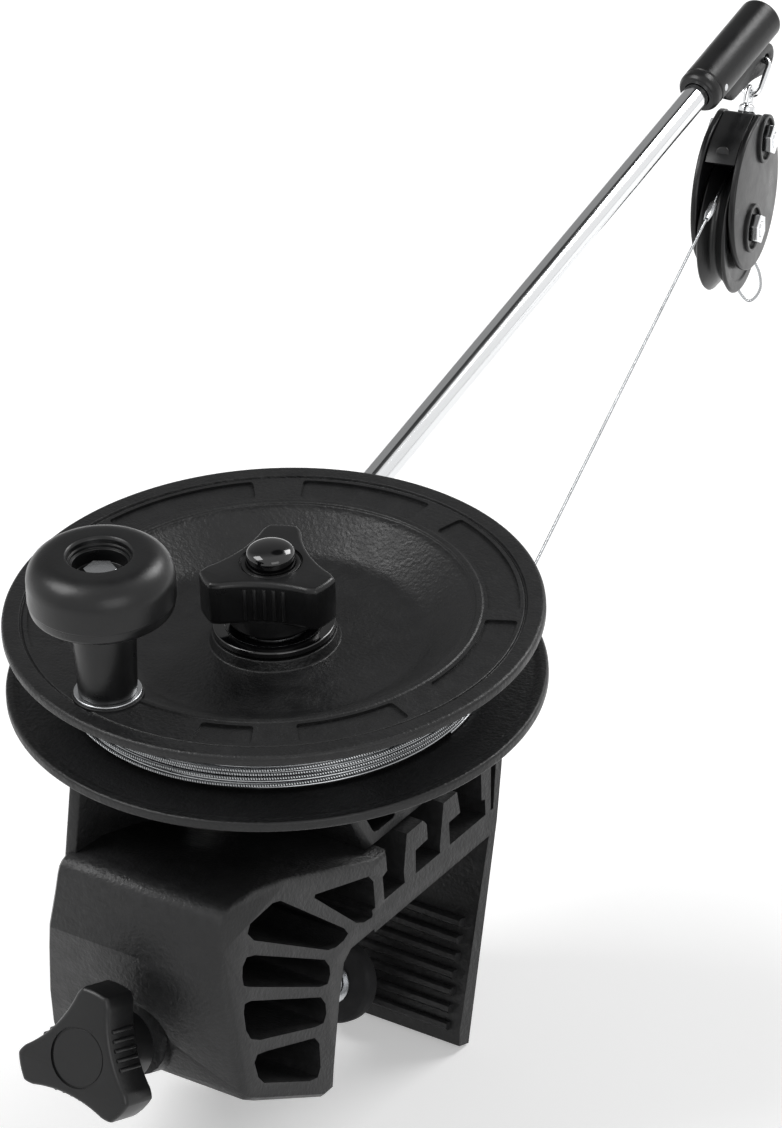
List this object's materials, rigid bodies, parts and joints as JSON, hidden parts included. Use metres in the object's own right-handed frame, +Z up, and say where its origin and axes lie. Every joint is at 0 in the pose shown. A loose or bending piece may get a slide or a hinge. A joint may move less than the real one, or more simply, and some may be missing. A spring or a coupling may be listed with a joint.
{
  "type": "downrigger",
  "caption": "Hand-cranked downrigger on a gunwale clamp, with a flanged cable spool, a drag brake knob and a boom that holds a hanging pulley block.",
  "frame": {"origin": "middle of the underside of the jaw roof, which rests on the gunwale", "axes": "+Y along the boom's side away from the user, +X to the right-hand end of the clamp, +Z up along the spool axis"},
  "size_m": [0.19, 0.5595, 0.2483],
  "materials": {
    "moulded_black": "fine-grained moulded black plastic",
    "smooth_black": "satin black plastic",
    "gloss_black": "polished black plastic",
    "pad_rubber": "matte rubber",
    "steel": "satin stainless steel",
    "polished_steel": "polished stainless steel",
    "brass": "turned brass",
    "friction_lining": "pressed fibre lining",
    "cable_steel": "fine stranded stainless wire"
  },
  "bodies": {
    "frame": {"clamp_body": "moulded_black", "clamp_nut": "brass", "base_frame": "moulded_black", "base_screw_1": "steel", "base_screw_2": "steel", "base_screw_3": "steel", "base_screw_4": "steel", "boom": "polished_steel", "boom_lock_screw": "steel", "boom_end_cap": "smooth_black", "cap_pin": "steel", "spindle": "steel", "friction_disc_lower": "friction_lining", "friction_disc_upper": "friction_lining", "pressure_skirt": "gloss_black", "cable_run": "cable_steel"},
    "clamp_foot": {"clamp_pad": "pad_rubber", "clamp_pad_clip": "steel"},
    "clamp_screw": {"clamp_screw": "steel", "clamp_knob": "smooth_black", "clamp_knob_collar": "polished_steel"},
    "spool": {"spool_lower": "moulded_black", "spool_upper": "moulded_black", "spool_drum": "moulded_black", "spool_bushing": "brass", "spool_screw_1": "steel", "spool_screw_2": "steel", "spool_screw_3": "steel", "cable_core": "cable_steel", "cable_winding": "cable_steel", "crank_washer": "steel", "crank_stem": "smooth_black", "crank_bolt": "steel"},
    "grip": {"crank_grip": "smooth_black"},
    "brake_ring": {"brake_thrust_ring": "steel"},
    "brake": {"brake_knob": "smooth_black", "brake_nut": "brass", "brake_cap": "gloss_black"},
    "link": {"link_ring": "polished_steel"},
    "swivel": {"swivel_barrel": "polished_steel"},
    "block": {"block_spacer": "smooth_black", "block_cheek_right": "smooth_black", "block_cheek_left": "smooth_black", "sheave_bush": "brass", "axle_bolt": "polished_steel", "axle_nut": "polished_steel", "head_bolt": "polished_steel", "head_nut": "polished_steel", "cable_stop": "steel", "cable_end": "cable_steel", "cable_end_sleeve": "steel", "cable_end_loop": "cable_steel"},
    "sheave": {"sheave": "smooth_black"}
  },
  "joints": [
    {"name": "clamp_travel", "type": "slide", "parent": "frame", "child": "clamp_foot", "axis": [0, 0.9373, -0.3486], "range_m": [-0.0499, 0.00395]},
    {"name": "clamp_turn", "type": "hinge", "parent": "clamp_foot", "child": "clamp_screw", "pos_m": [0, -0.11206, -0.01066], "axis": [0, 0.9373, -0.3486], "range_deg": [-5990, 475]},
    {"name": "spool_spin", "type": "hinge", "parent": "frame", "child": "spool", "pos_m": [0, -0.025, 0.088], "axis": [0, 0, 1], "continuous": true},
    {"name": "grip_spin", "type": "hinge", "parent": "spool", "child": "grip", "pos_m": [-0.0178, -0.09858, 0.088], "axis": [0, 0, 1], "continuous": true},
    {"name": "brake_lift", "type": "slide", "parent": "frame", "child": "brake_ring", "axis": [0, 0, 1], "range_m": [0, 0.00224]},
    {"name": "brake_turn", "type": "hinge", "parent": "brake_ring", "child": "brake", "pos_m": [0, -0.025, 0.088], "axis": [0, 0, 1], "range_deg": [0, 540]},
    {"name": "link_swing", "type": "hinge", "parent": "frame", "child": "link", "pos_m": [-0.06776, 0.3949, 0.11728], "axis": [0.9976, 0.0698, 0], "range_deg": [-6, 40]},
    {"name": "block_swing", "type": "hinge", "parent": "link", "child": "swivel", "pos_m": [-0.06695, 0.38341, 0.10691], "axis": [0.9613, 0.2756, 0], "range_deg": [-6, 30]},
    {"name": "block_swivel", "type": "hinge", "parent": "swivel", "child": "block", "pos_m": [-0.06695, 0.38341, 0.10691], "axis": [-0.1581, 0.5514, 0.8192], "range_deg": [-25, 25]},
    {"name": "sheave_spin", "type": "hinge", "parent": "block", "child": "sheave", "pos_m": [-0.05905, 0.35585, 0.06595], "axis": [0.9613, 0.2756, 0], "continuous": true}
  ],
  "couplings": [
    {"joint": "clamp_turn", "follows": "clamp_travel", "rad_per_m": 2094.4},
    {"joint": "brake_turn", "follows": "brake_lift", "rad_per_m": 4188.8},
    {"joint": "sheave_spin", "follows": "spool_spin", "ratio": -3.4415}
  ]
}
